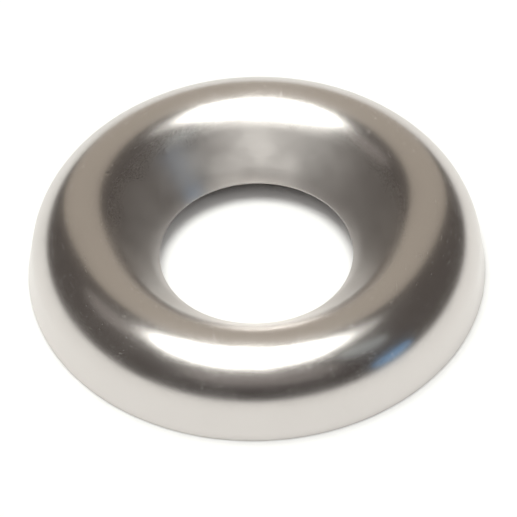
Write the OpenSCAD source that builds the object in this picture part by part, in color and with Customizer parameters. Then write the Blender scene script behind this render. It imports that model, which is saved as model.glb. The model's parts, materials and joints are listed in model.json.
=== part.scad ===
/* [Washer] */
// Outside diameter, at the foot of the skirt
outer_d = 17.5; // [15:0.1:20.5]
// Height from the foot of the skirt to the crest of the bead
height = 3; // [2.4:0.05:4]
// Diameter of the screw hole
hole_d = 7.4; // [5:0.1:8.4]
// Thickness of the sheet, the same all over
sheet_t = 0.5; // [0.3:0.05:0.7]

/* [Form] */
// Included angle of the cone that a countersunk head sits in, in degrees
seat_angle = 90; // [80:1:100]
// Inward lean of the skirt from upright, in degrees
skirt_lean = 8; // [2:0.5:14]
// Gap from the lowest edge of the seat cone down to the plane of the skirt's foot
lip_lift = 0.5; // [0.2:0.05:0.7]

/* [Screw hole edge] */
// Radius of the roll at the foot of the seat cone, where the face turns down to the hole
hole_edge_r = 1.6; // [1:0.1:2.4]
// Angle at which that roll breaks from the seat cone, in degrees
seat_break = 4; // [2:1:8]
// Angle at which it breaks from the upright land, in degrees
land_break = 22; // [14:1:30]
// Height of the land that the punch sizes round the screw hole
hole_land = 0.15; // [0.1:0.01:0.25]

/* [Hidden] */
$fn = 180;

outer_r = outer_d / 2;
hole_r = hole_d / 2;

// Slope of the seat cone from level
seat_slope = 90 - seat_angle / 2;

// The roll meets the land this far below the height at which the seat's upper face would reach the hole
roll_turn = cos(seat_break) / cos(seat_slope) - cos(land_break) * tan(seat_slope) - sin(land_break);
roll_drop = hole_edge_r * roll_turn;
land_depth = roll_drop + hole_land;
seat_corner_z = lip_lift + sheet_t * cos(seat_slope) + land_depth * pow(sin(seat_slope), 2);
land_top = [hole_r, seat_corner_z - roll_drop];
land_foot = [hole_r, seat_corner_z - land_depth];

// The bead is the one round that touches the skirt, the crest plane and the seat cone
seat_crest_r = hole_r + (height - seat_corner_z) / tan(seat_slope);
skirt_crest_r = outer_r - height * tan(skirt_lean);
seat_tangent = tan(seat_slope / 2);
skirt_tangent = tan((90 - skirt_lean) / 2);
bead_r = (skirt_crest_r - seat_crest_r) / (seat_tangent + skirt_tangent);
bead_centre = [seat_crest_r + bead_r * seat_tangent, height - bead_r];

// Directions from the bead's centre square to each flank, and down along that flank
skirt_out = [cos(skirt_lean), sin(skirt_lean)];
skirt_down = [sin(skirt_lean), -cos(skirt_lean)];
seat_out = [-sin(seat_slope), cos(seat_slope)];
seat_down = [-cos(seat_slope), -sin(seat_slope)];

// Both flanks are drawn long, past the level foot and the hole that cut them to length
flank_run = outer_r;
// The flanks sit this little inside the bead's round, so that their faces cross it and don't just touch it
flank_tuck = 0.0001;

// Under the land the pierced edge runs square through the sheet, so it faces down and inward
pierced_down = [sin(seat_slope), -cos(seat_slope)];
pierced_run = 2 * sheet_t;

// The roll is centred behind the seat, so that it leaves the seat and the land at the two angles above
edge_centre = land_top + hole_edge_r * [cos(land_break), -sin(land_break)];
edge_reach = 2 * hole_edge_r;

// Everything under one face of the sheet: the bead's round of radius r, and the flanks that leave it
module under_face(r) {
    skirt_top = (r - flank_tuck) * skirt_out;
    seat_top = (r - flank_tuck) * seat_out;
    circle(r);
    polygon([
        seat_top,
        seat_top + flank_run * seat_down,
        skirt_top + flank_run * skirt_down,
        skirt_top
    ]);
}

// Sheet bent over the bead, between its upper and its lower face
module bent_sheet() {
    translate(bead_centre)
        difference() {
            under_face(bead_r);
            under_face(bead_r - sheet_t);
        }
}

// What lies under the pierced edge, from the foot of the land to past the sheet's lower face
module pierced_away() {
    translate(land_foot)
        polygon([
            [0, 0],
            pierced_run * pierced_down,
            pierced_run * [-1, -1],
            pierced_run * [-1, 0]
        ]);
}

// Corner that the punch rolls away, between the roll and the faces of the seat and the land
module rolled_corner() {
    translate(edge_centre)
        difference() {
            polygon([
                [0, 0],
                edge_reach * seat_out,
                edge_reach * [-1, 1],
                edge_reach * [-1, 0]
            ]);
            circle(hole_edge_r);
        }
}

// Half section of the washer: the bent sheet, cut level at its foot and pierced at the hole
module section() {
    difference() {
        intersection() {
            bent_sheet();
            translate([hole_r, 0])
                square([outer_r, height + sheet_t]);
        }
        pierced_away();
        rolled_corner();
    }
}

module cup_washer() {
    color("silver")
        rotate_extrude()
            section();
}

cup_washer();
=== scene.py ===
import json
import math

import bpy
from mathutils import Matrix, Vector


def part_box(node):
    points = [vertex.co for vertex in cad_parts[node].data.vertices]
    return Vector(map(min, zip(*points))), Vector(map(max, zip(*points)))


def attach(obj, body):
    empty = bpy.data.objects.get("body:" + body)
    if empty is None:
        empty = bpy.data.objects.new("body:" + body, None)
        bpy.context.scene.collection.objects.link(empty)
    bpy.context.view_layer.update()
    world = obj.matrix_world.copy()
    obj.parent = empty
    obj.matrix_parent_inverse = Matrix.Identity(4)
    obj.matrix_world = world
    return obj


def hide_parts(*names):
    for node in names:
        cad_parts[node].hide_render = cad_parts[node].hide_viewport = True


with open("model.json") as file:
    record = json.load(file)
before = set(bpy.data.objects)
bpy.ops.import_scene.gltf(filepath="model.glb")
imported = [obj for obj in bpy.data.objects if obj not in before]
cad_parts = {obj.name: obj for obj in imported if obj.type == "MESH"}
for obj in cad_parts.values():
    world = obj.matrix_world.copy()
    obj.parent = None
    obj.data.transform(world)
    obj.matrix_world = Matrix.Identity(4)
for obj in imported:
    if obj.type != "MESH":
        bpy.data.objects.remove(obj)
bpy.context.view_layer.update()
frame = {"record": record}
scene = bpy.context.scene
scene.view_settings.view_transform = "Standard"


# The washer is one disc of bright stainless sheet, blanked and pierced in a press.
# A punch and die then draw it: the skirt turned down, the bead rolled over, the cone sunk to the hole.
# Tumbling afterwards shines the bead and the skirt, and leaves the sunk cone satin.

MM = 0.001
foot_corner, crest_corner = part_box("cup_washer")
screw_hole = next(m for m in frame["record"]["mounts"] if m["name"] == "screw_hole")

washer_sizes = {
    "Outer radius": crest_corner.x,
    "Height": crest_corner.z - foot_corner.z,
    "Hole radius": screw_hole["dims"]["r_mm"] * MM,
    "Sheet": 0.5 * MM,
    "Lip lift": 0.587 * MM,
    "Seat angle": math.radians(90),
    "Skirt lean": math.radians(8),
    "Land": 0.04 * MM,
    "Land depth": 0.15 * MM,
    "Lip lean": math.radians(33),
    "Lip roll": 3.2 * MM,
    "Cut round": 0.04 * MM,
    "Face length": 0.09 * MM,
    "Merging": 0.001 * MM,
    "Ripple height": 0.003 * MM,
    "Ripples per metre": 260.0,
}
washer_counts = {
    "Facets around": 288,
    "Facets per bend": 22,
    "Facets per cut": 6,
}


def add_node(tree, kind, sockets, **settings):
    """Adds a node, sets its options, and links or sets the sockets that are named or numbered."""
    node = tree.nodes.new(kind)
    for name, value in settings.items():
        setattr(node, name, value)
    for socket, value in sockets.items():
        if isinstance(value, bpy.types.NodeSocket):
            tree.links.new(value, node.inputs[socket])
        else:
            node.inputs[socket].default_value = value
    return node


def add_range(tree, value, low, high, to_low, to_high):
    """Carries a value softly from one range over to another, and holds it at the ends."""
    limits = {"Value": value, "From Min": low, "From Max": high, "To Min": to_low, "To Max": to_high}
    return add_node(tree, "ShaderNodeMapRange", limits, interpolation_type="SMOOTHSTEP").outputs["Result"]


# Finish of the sheet: warm grey stainless, whose fine lay from drawing runs round the axis
STEEL_COLOUR = (0.67, 0.638, 0.618, 1.0)
LAY_STRENGTH = 0.8
LAY_TURN = 0.25

polished_steel = bpy.data.materials.new("polished_steel")
polished_steel.use_nodes = True
steel = polished_steel.node_tree
steel.nodes.clear()


def steel_calc(operation, first, second=0.0):
    return add_node(steel, "ShaderNodeMath", {0: first, 1: second}, operation=operation).outputs[0]


def steel_vector(operation, sockets, output="Vector"):
    return add_node(steel, "ShaderNodeVectorMath", sockets, operation=operation).outputs[output]


def steel_noise(where, scale, detail):
    sockets = {"Vector": where, "Scale": scale, "Detail": detail}
    return add_node(steel, "ShaderNodeTexNoise", sockets).outputs["Fac"]


ACROSS = (1.0, 1.0, 0.0)
AXIS = (0.0, 0.0, 1.0)
place = add_node(steel, "ShaderNodeTexCoord", {}).outputs["Object"]
from_axis = steel_vector("LENGTH", {0: steel_vector("MULTIPLY", {0: place, 1: ACROSS})}, "Value")
round_axis = steel_vector("CROSS_PRODUCT", {0: AXIS, 1: place})
raw_zone = add_node(steel, "ShaderNodeAttribute", {}, attribute_name="raw").outputs["Fac"]

# Tumbling mottles the sheet in soft clouds, over a grain that is finer than the eye can part
CLOUDS_PER_METRE = 650.0
CLOUD_DETAIL = 4.0
GRAINS_PER_METRE = 40000.0
GRAIN_DETAIL = 1.0
NOISE_LOW = 0.3
NOISE_HIGH = 0.7
clouds = steel_noise(place, CLOUDS_PER_METRE, CLOUD_DETAIL)
grain = steel_noise(place, GRAINS_PER_METRE, GRAIN_DETAIL)

# It also leaves short hair lines that run every way, here three sets of stretched noise
HAIR_WAYS = ((0.3, 0.5), (1.4, -0.9), (2.4, 0.2))
HAIR_SWING = 1.7
HAIRS_PER_METRE = (5200.0, 900.0, 24000.0)
HAIR_FAINT = 0.66
HAIR_FULL = 0.78
hair_sets = []
for turn, slant in HAIR_WAYS:
    mapping = {"Vector": place, "Rotation": (slant, turn, turn * HAIR_SWING), "Scale": HAIRS_PER_METRE}
    stretched = add_node(steel, "ShaderNodeMapping", mapping).outputs["Vector"]
    lines = steel_noise(stretched, 1.0, 1.0)
    hair_sets.append(add_range(steel, lines, HAIR_FAINT, HAIR_FULL, 0.0, 1.0))
hair = steel_calc("MAXIMUM", hair_sets[0], steel_calc("MAXIMUM", hair_sets[1], hair_sets[2]))

# Nicks are small and few: only some cells of a coarse pattern hold one
NICK_CELLS_PER_METRE = 900.0
NICK_CHOICE = 0.9
NICK_CORE = 0.05
NICK_EDGE = 0.13
cell_sockets = {"Vector": place, "Scale": NICK_CELLS_PER_METRE, "Randomness": 1.0}
cells = add_node(steel, "ShaderNodeTexVoronoi", cell_sockets).outputs
cell_draw = add_node(steel, "ShaderNodeSeparateColor", {"Color": cells["Color"]}).outputs["Red"]
chosen = steel_calc("GREATER_THAN", cell_draw, NICK_CHOICE)
nick = steel_calc("MULTIPLY", add_range(steel, cells["Distance"], NICK_CORE, NICK_EDGE, 1.0, 0.0), chosen)

# The bead is polished and the sunk seat satin, because tumbling reaches the bead first.
# The pierced edge and the underside stay dull.
SATIN_INSIDE = 4.9 * MM
POLISH_OUTSIDE = 6.0 * MM
POLISHED_ROUGHNESS = 0.205
SATIN_ROUGHER = 0.15
RAW_ROUGHER = 0.45
POLISHED_MOTTLE = 0.012
SATIN_MOTTLE = 0.02
GRAIN_ROUGHER = 0.05
HAIR_ROUGHER = 0.03
satin = add_range(steel, from_axis, SATIN_INSIDE, POLISH_OUTSIDE, 1.0, 0.0)
rough = steel_calc("ADD", POLISHED_ROUGHNESS, steel_calc("MULTIPLY", satin, SATIN_ROUGHER))
rough = steel_calc("ADD", rough, steel_calc("MULTIPLY", raw_zone, RAW_ROUGHER))
mottle = steel_calc("ADD", POLISHED_MOTTLE, steel_calc("MULTIPLY", satin, SATIN_MOTTLE))
cloudy = add_range(steel, clouds, NOISE_LOW, NOISE_HIGH, -1.0, 1.0)
rough = steel_calc("ADD", rough, steel_calc("MULTIPLY", cloudy, mottle))
grainy = add_range(steel, grain, NOISE_LOW, NOISE_HIGH, -GRAIN_ROUGHER, GRAIN_ROUGHER)
rough = steel_calc("ADD", rough, grainy)
rough = steel_calc("ADD", rough, steel_calc("MULTIPLY", hair, HAIR_ROUGHER))

# Depth of the marks, as shares of a relief about a thousandth of a millimetre high
GRAIN_RELIEF = 0.05
HAIR_RELIEF = -0.12
NICK_RELIEF = -2.0
RELIEF_HEIGHT = 0.0012 * MM
grain_relief = steel_calc("MULTIPLY", grain, GRAIN_RELIEF)
relief = steel_calc("ADD", grain_relief, steel_calc("MULTIPLY", hair, HAIR_RELIEF))
relief = steel_calc("ADD", relief, steel_calc("MULTIPLY", nick, NICK_RELIEF))
bump = add_node(steel, "ShaderNodeBump", {"Strength": 1.0, "Distance": RELIEF_HEIGHT, "Height": relief})
steel_shader = add_node(steel, "ShaderNodeBsdfPrincipled", {
    "Base Color": STEEL_COLOUR,
    "Metallic": 1.0,
    "Roughness": rough,
    "Anisotropic": LAY_STRENGTH,
    "Anisotropic Rotation": LAY_TURN,
    "Tangent": round_axis,
    "Normal": bump.outputs["Normal"],
})
add_node(steel, "ShaderNodeOutputMaterial", {"Surface": steel_shader.outputs["BSDF"]})

# The section is drawn from its corners, each bend is rounded, and the section is swept about the axis
forming = bpy.data.node_groups.new("forming", "GeometryNodeTree")
socket_ids = {}


def add_input(name, socket_type):
    socket = forming.interface.new_socket(name, in_out="INPUT", socket_type=socket_type)
    socket_ids[name] = socket.identifier


for name in washer_sizes:
    add_input(name, "NodeSocketFloat")
for name in washer_counts:
    add_input(name, "NodeSocketInt")
add_input("Finish", "NodeSocketMaterial")
forming.interface.new_socket("Washer", in_out="OUTPUT", socket_type="NodeSocketGeometry")
size = forming.nodes.new("NodeGroupInput").outputs


def calc(operation, first, second=0.0):
    return add_node(forming, "ShaderNodeMath", {0: first, 1: second}, operation=operation).outputs[0]


def shaped(kind, sockets, **settings):
    """Adds one step of the forming and gives what it makes."""
    return add_node(forming, kind, sockets, **settings).outputs[0]


# The seat's slope from level, and the edge of the hole from its land up to the seat
quarter_turn = math.pi / 2
seat_slope = calc("SUBTRACT", quarter_turn, calc("MULTIPLY", size["Seat angle"], 0.5))
seat_rise = calc("TANGENT", seat_slope)
slope_cosine = calc("COSINE", seat_slope)
pierced = calc("SUBTRACT", size["Sheet"], calc("MULTIPLY", size["Land depth"], slope_cosine))
land_foot = calc("ADD", size["Lip lift"], calc("MULTIPLY", pierced, slope_cosine))
land_top = calc("ADD", land_foot, size["Land"])
lip_inside = calc("ADD", size["Hole radius"], calc("MULTIPLY", pierced, calc("SINE", seat_slope)))
seat_corner = calc("ADD", land_foot, size["Land depth"])
lip_rise = calc("DIVIDE", 1.0, calc("TANGENT", size["Lip lean"]))
lip_run = calc("DIVIDE", calc("SUBTRACT", seat_corner, land_top), calc("SUBTRACT", lip_rise, seat_rise))
lip_outside = calc("ADD", size["Hole radius"], lip_run)
lip_top = calc("ADD", land_top, calc("MULTIPLY", lip_run, lip_rise))

# The bead is the one round that touches the seat, the crest plane and the skirt
lean_run = calc("TANGENT", size["Skirt lean"])
seat_run = calc("DIVIDE", calc("SUBTRACT", size["Height"], seat_corner), seat_rise)
seat_crest = calc("ADD", size["Hole radius"], seat_run)
skirt_crest = calc("SUBTRACT", size["Outer radius"], calc("MULTIPLY", size["Height"], lean_run))
seat_share = calc("TANGENT", calc("MULTIPLY", seat_slope, 0.5))
skirt_slope = calc("SUBTRACT", quarter_turn, size["Skirt lean"])
skirt_share = calc("TANGENT", calc("MULTIPLY", skirt_slope, 0.5))
bead_round = calc("DIVIDE", calc("SUBTRACT", skirt_crest, seat_crest), calc("ADD", seat_share, skirt_share))

# The lower face is the same form, one thickness of the sheet inside
under_height = calc("SUBTRACT", size["Height"], size["Sheet"])
under_round = calc("SUBTRACT", bead_round, size["Sheet"])
under_seat_run = calc("DIVIDE", calc("SUBTRACT", under_height, size["Lip lift"]), seat_rise)
under_seat = calc("ADD", lip_inside, under_seat_run)
foot_width = calc("DIVIDE", size["Sheet"], calc("COSINE", size["Skirt lean"]))
foot_inside = calc("SUBTRACT", size["Outer radius"], foot_width)
under_skirt = calc("SUBTRACT", foot_inside, calc("MULTIPLY", under_height, lean_run))

# Each corner: radius, height, its round, the facets of that round, and whether tumbling shines the face
SHINED = 0.0
RAW = 1.0
bend = size["Facets per bend"]
cut = size["Facets per cut"]
corners = (
    (size["Outer radius"], 0.0, size["Cut round"], cut, SHINED),
    (skirt_crest, size["Height"], bead_round, bend, SHINED),
    (seat_crest, size["Height"], bead_round, bend, SHINED),
    (lip_outside, lip_top, size["Lip roll"], bend, SHINED),
    (size["Hole radius"], land_top, size["Cut round"], cut, RAW),
    (size["Hole radius"], land_foot, size["Cut round"], cut, RAW),
    (lip_inside, size["Lip lift"], size["Cut round"], cut, RAW),
    (under_seat, under_height, under_round, bend, RAW),
    (under_skirt, under_height, under_round, bend, RAW),
    (foot_inside, 0.0, size["Cut round"], cut, RAW),
)
corner_radii, corner_levels, corner_rounds, corner_facets, corner_rawness = zip(*corners)
corner_number = forming.nodes.new("GeometryNodeInputIndex").outputs["Index"]


def by_corner(data_type, values):
    """Gives each corner of the section its own value."""
    switch = add_node(forming, "GeometryNodeIndexSwitch", {}, data_type=data_type)
    while len(switch.index_switch_items) < len(values):
        switch.index_switch_items.new()
    forming.links.new(corner_number, switch.inputs["Index"])
    for socket, value in zip(list(switch.inputs)[1:], values):
        if isinstance(value, bpy.types.NodeSocket):
            forming.links.new(value, socket)
        else:
            socket.default_value = value
    return switch.outputs["Output"]


corner_places = []
for radius, level in zip(corner_radii, corner_levels):
    inward = calc("SUBTRACT", radius, size["Outer radius"])
    upward = calc("MULTIPLY", level, -1.0)
    corner_places.append(shaped("ShaderNodeCombineXYZ", {"X": inward, "Y": upward}))
points = shaped("GeometryNodePoints", {
    "Count": len(corners),
    "Position": by_corner("VECTOR", corner_places),
})
outline = shaped("GeometryNodePointsToCurves", {"Points": points, "Weight": corner_number})
outline = shaped("GeometryNodeSetSplineCyclic", {"Geometry": outline, "Cyclic": True})
outline = shaped("GeometryNodeStoreNamedAttribute", {
    "Geometry": outline,
    "Name": "raw",
    "Value": by_corner("FLOAT", corner_rawness),
}, data_type="FLOAT", domain="POINT")
section = shaped("GeometryNodeFilletCurve", {
    "Curve": outline,
    "Count": by_corner("INT", corner_facets),
    "Radius": by_corner("FLOAT", corner_rounds),
    "Limit Radius": True,
}, mode="POLY")

# Long straight flanks are cut into faces of about the same length as those in the bends
here = forming.nodes.new("GeometryNodeInputPosition").outputs["Position"]
next_point = add_node(forming, "GeometryNodeOffsetPointInCurve", {"Offset": 1}).outputs["Point Index"]
there = shaped("GeometryNodeFieldAtIndex", {"Value": here, "Index": next_point}, data_type="FLOAT_VECTOR")
stretch = add_node(forming, "ShaderNodeVectorMath", {0: here, 1: there}, operation="DISTANCE")
cuts = calc("FLOOR", calc("DIVIDE", stretch.outputs["Value"], size["Face length"]))
section = shaped("GeometryNodeSubdivideCurve", {"Curve": section, "Cuts": cuts})

path = shaped("GeometryNodeCurvePrimitiveCircle", {
    "Resolution": size["Facets around"],
    "Radius": size["Outer radius"],
}, mode="RADIUS")
path = shaped("GeometryNodeSetCurveNormal", {"Curve": path}, mode="Z_UP")
sheet = shaped("GeometryNodeCurveToMesh", {"Curve": path, "Profile Curve": section})
sheet = shaped("GeometryNodeMergeByDistance", {"Geometry": sheet, "Distance": size["Merging"]})
sheet = shaped("GeometryNodeFlipFaces", {"Mesh": sheet})

# Drawing leaves a faint ripple, a few thousandths of a millimetre high, which bends the reflections
NOISE_MIDDLE = 0.5
ripple_sockets = {"Scale": size["Ripples per metre"], "Detail": 1.0}
ripple = add_node(forming, "ShaderNodeTexNoise", ripple_sockets).outputs["Fac"]
swell = calc("MULTIPLY", calc("SUBTRACT", ripple, NOISE_MIDDLE), size["Ripple height"])
facing = forming.nodes.new("GeometryNodeInputNormal").outputs["Normal"]
swelling = shaped("ShaderNodeVectorMath", {0: facing, "Scale": swell}, operation="SCALE")
sheet = shaped("GeometryNodeSetPosition", {"Geometry": sheet, "Offset": swelling})
sheet = shaped("GeometryNodeSetShadeSmooth", {"Geometry": sheet, "Shade Smooth": True})
sheet = shaped("GeometryNodeRealizeInstances", {"Geometry": sheet})
sheet = shaped("GeometryNodeSetMaterial", {"Geometry": sheet, "Material": size["Finish"]})
add_node(forming, "NodeGroupOutput", {"Washer": sheet})

washer = bpy.data.objects.new("formed_washer", bpy.data.meshes.new("blank"))
scene.collection.objects.link(washer)
press = washer.modifiers.new("press", "NODES")
press.node_group = forming
for name, value in {**washer_sizes, **washer_counts, "Finish": polished_steel}.items():
    press[socket_ids[name]] = value
depsgraph = bpy.context.evaluated_depsgraph_get()
formed_mesh = bpy.data.meshes.new_from_object(washer.evaluated_get(depsgraph), depsgraph=depsgraph)
washer.modifiers.remove(press)
washer.data = formed_mesh
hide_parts("cup_washer")
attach(washer, "root")


# The washer lies on a wide sheet of white paper whose far edges curve gently upwards.
# The paper is lit evenly from above, and a faint glow makes it white to the camera and in reflections.
# Under the washer the glow is left out. This is painted shade, which deepens the rendered shadow inside the
# hole.

FLOOR_FLAT = 0.25
FLOOR_RADIUS = 0.62
FLOOR_RISE = 0.03
FLOOR_RINGS = 24
FLOOR_SECTORS = 96
PAPER_WHITE = (0.92, 0.92, 0.92, 1.0)
PAPER_GLOW = 0.12
GLOW_COLOUR = (1.0, 1.0, 1.0, 1.0)
# Radii where the glow fades out and comes back: between them lies a ring of painted shade under the washer
HOLE_GLOW_FULL = 3.75 * MM
HOLE_GLOW_END = 4.6 * MM
SKIRT_GLOW_START = 8.0 * MM
SKIRT_GLOW_FULL = 8.7 * MM

floor_points = [(0.0, 0.0, 0.0)]
floor_faces = []
for ring in range(1, FLOOR_RINGS + 1):
    reach = FLOOR_RADIUS * ring / FLOOR_RINGS
    climb = max(0.0, reach - FLOOR_FLAT) / (FLOOR_RADIUS - FLOOR_FLAT)
    for sector in range(FLOOR_SECTORS):
        turn = 2 * math.pi * sector / FLOOR_SECTORS
        floor_points.append((reach * math.cos(turn), reach * math.sin(turn), FLOOR_RISE * climb ** 2))
for sector in range(FLOOR_SECTORS):
    following = (sector + 1) % FLOOR_SECTORS
    floor_faces.append((0, 1 + sector, 1 + following))
    for ring in range(1, FLOOR_RINGS):
        inner = 1 + (ring - 1) * FLOOR_SECTORS
        outer = inner + FLOOR_SECTORS
        floor_faces.append((inner + sector, outer + sector, outer + following, inner + following))
floor_mesh = bpy.data.meshes.new("paper_floor")
floor_mesh.from_pydata(floor_points, [], floor_faces)
floor_mesh.shade_smooth()
floor = bpy.data.objects.new("paper_floor", floor_mesh)
scene.collection.objects.link(floor)

white_paper = bpy.data.materials.new("white_paper")
white_paper.use_nodes = True
paper = white_paper.node_tree
paper.nodes.clear()


def paper_calc(operation, first, second):
    return add_node(paper, "ShaderNodeMath", {0: first, 1: second}, operation=operation).outputs[0]


ray = paper.nodes.new("ShaderNodeLightPath").outputs
seen = paper_calc("MAXIMUM", ray["Is Glossy Ray"], ray["Is Transmission Ray"])
seen = paper_calc("MAXIMUM", ray["Is Camera Ray"], seen)
spot = add_node(paper, "ShaderNodeTexCoord", {}).outputs["Object"]
spot_radius = add_node(paper, "ShaderNodeVectorMath", {0: spot}, operation="LENGTH").outputs["Value"]
# No glow from just inside the hole to near the skirt's foot, which paints shade on the paper under the
# washer
glow_fading_into_painted_shade = add_range(paper, spot_radius, HOLE_GLOW_FULL, HOLE_GLOW_END, PAPER_GLOW, 0.0)
glow_back_after_painted_shade = add_range(paper, spot_radius, SKIRT_GLOW_START, SKIRT_GLOW_FULL, 0.0, PAPER_GLOW)
glow = paper_calc("MULTIPLY", seen, paper_calc("MAXIMUM", glow_fading_into_painted_shade, glow_back_after_painted_shade))
paper_shader = add_node(paper, "ShaderNodeBsdfPrincipled", {
    "Base Color": PAPER_WHITE,
    "Roughness": 1.0,
    "Specular IOR Level": 0.0,
    "Emission Color": GLOW_COLOUR,
    "Emission Strength": glow,
})
add_node(paper, "ShaderNodeOutputMaterial", {"Surface": paper_shader.outputs["BSDF"]})
floor_mesh.materials.append(white_paper)


# Plain soft studio light: one softbox overhead, in three layers so that it is brightest at its middle.
# A dim warm screen stands behind, a weak fill in front, and small cards at the sides, one of them blue.
# All round it is dim, most of all in front, so the polished bead shows dark between softbox and paper.

def add_lamp(name, azimuth, elevation, distance, wide, tall, radiance, colour):
    """An area lamp that faces the washer. Azimuth 0 is behind the washer, 90 to its right."""
    lamp = bpy.data.lights.new(name, "AREA")
    lamp.shape = "ELLIPSE"
    lamp.size = wide
    lamp.size_y = tall
    lamp.energy = radiance * math.pi * wide * tall
    lamp.color = colour
    holder = bpy.data.objects.new(name, lamp)
    side = math.radians(azimuth)
    lift = math.radians(elevation)
    away = Vector((math.sin(side) * math.cos(lift), math.cos(side) * math.cos(lift), math.sin(lift)))
    holder.location = away * distance
    holder.rotation_euler = away.to_track_quat("Z", "Y").to_euler()
    scene.collection.objects.link(holder)


# Each layer: name, distance, width, depth and radiance
SOFTBOX_AZIMUTH = -30.0
SOFTBOX_ELEVATION = 84.0
SOFTBOX_COLOUR = (0.985, 1.0, 0.96)
softbox_layers = (
    ("softbox_core", 2.0, 1.15, 1.1, 6.2),
    ("softbox_middle", 2.01, 1.5, 1.3, 1.5),
    ("softbox_rim", 2.02, 1.95, 1.5, 0.45),
)
for name, distance, wide, tall, radiance in softbox_layers:
    add_lamp(name, SOFTBOX_AZIMUTH, SOFTBOX_ELEVATION, distance, wide, tall, radiance, SOFTBOX_COLOUR)

# Each screen or card: name, azimuth, elevation, distance, width, height, radiance and colour
screens = (
    ("warm_screen", 0.0, 27.0, 1.6, 1.9, 1.7, 0.30, (1.0, 0.905, 0.755)),
    ("front_fill", 180.0, 50.0, 1.6, 1.9, 0.9, 0.11, (1.0, 0.92, 0.88)),
    ("left_card", -65.0, 55.0, 1.5, 0.6, 0.5, 0.16, (1.0, 0.94, 0.89)),
    ("right_card", 112.0, 54.0, 1.5, 0.45, 0.55, 0.26, (0.85, 0.97, 1.0)),
    ("cool_card", 117.0, 15.0, 1.2, 0.46, 0.26, 0.58, (0.2, 0.55, 1.0)),
)
for screen in screens:
    add_lamp(*screen)

# The surroundings run from a dark front to an even dim grey, by how far a direction points forward
DIM_FRONT = (0.04, 0.032, 0.031, 1.0)
DIM_ROUND = (0.1035, 0.0915, 0.0835, 1.0)
STRAIGHT_FRONT = -1.0
FRONT_END = -0.2
MIX_FIRST_COLOUR = 6
MIX_SECOND_COLOUR = 7
MIX_COLOUR_RESULT = 2
world = bpy.data.worlds.new("dim_room")
scene.world = world
world.use_nodes = True
room = world.node_tree
toward = add_node(room, "ShaderNodeTexCoord", {}).outputs["Generated"]
depth = add_node(room, "ShaderNodeSeparateXYZ", {"Vector": toward}).outputs["Y"]
share = add_node(room, "ShaderNodeMapRange", {
    "Value": depth,
    "From Min": STRAIGHT_FRONT,
    "From Max": FRONT_END,
    "To Min": 0.0,
    "To Max": 1.0,
}).outputs["Result"]
tone = add_node(room, "ShaderNodeMix", {
    "Factor": share,
    MIX_FIRST_COLOUR: DIM_FRONT,
    MIX_SECOND_COLOUR: DIM_ROUND,
}, data_type="RGBA").outputs[MIX_COLOUR_RESULT]
room.links.new(tone, room.nodes["Background"].inputs["Color"])


# The camera looks down on the washer from the front, through a long lens.
# It is turned a little about its line of sight, so the washer's right side sits higher in the picture.

CAMERA_ELEVATION = math.radians(47.04)
CAMERA_ROLL = math.radians(1.63)
CAMERA_DISTANCE = 218.75 * MM
CAMERA_TARGET = Vector((0.0744, 0.0, 0.593)) * MM
CAMERA_LENS = 398.7
CAMERA_SENSOR = 36.0
CAMERA_NEAR = 0.01
CAMERA_FAR = 10.0

forward = Vector((0.0, math.cos(CAMERA_ELEVATION), -math.sin(CAMERA_ELEVATION)))
level_right = Vector((1.0, 0.0, 0.0))
level_up = level_right.cross(forward)
camera_right = level_right * math.cos(CAMERA_ROLL) - level_up * math.sin(CAMERA_ROLL)
camera_up = level_right * math.sin(CAMERA_ROLL) + level_up * math.cos(CAMERA_ROLL)
lens = bpy.data.cameras.new("camera")
lens.lens = CAMERA_LENS
lens.sensor_width = CAMERA_SENSOR
lens.clip_start = CAMERA_NEAR
lens.clip_end = CAMERA_FAR
camera = bpy.data.objects.new("camera", lens)
camera_turn = Matrix((camera_right, camera_up, -forward)).transposed().to_4x4()
camera.matrix_world = Matrix.Translation(CAMERA_TARGET - forward * CAMERA_DISTANCE) @ camera_turn
scene.collection.objects.link(camera)
scene.camera = camera
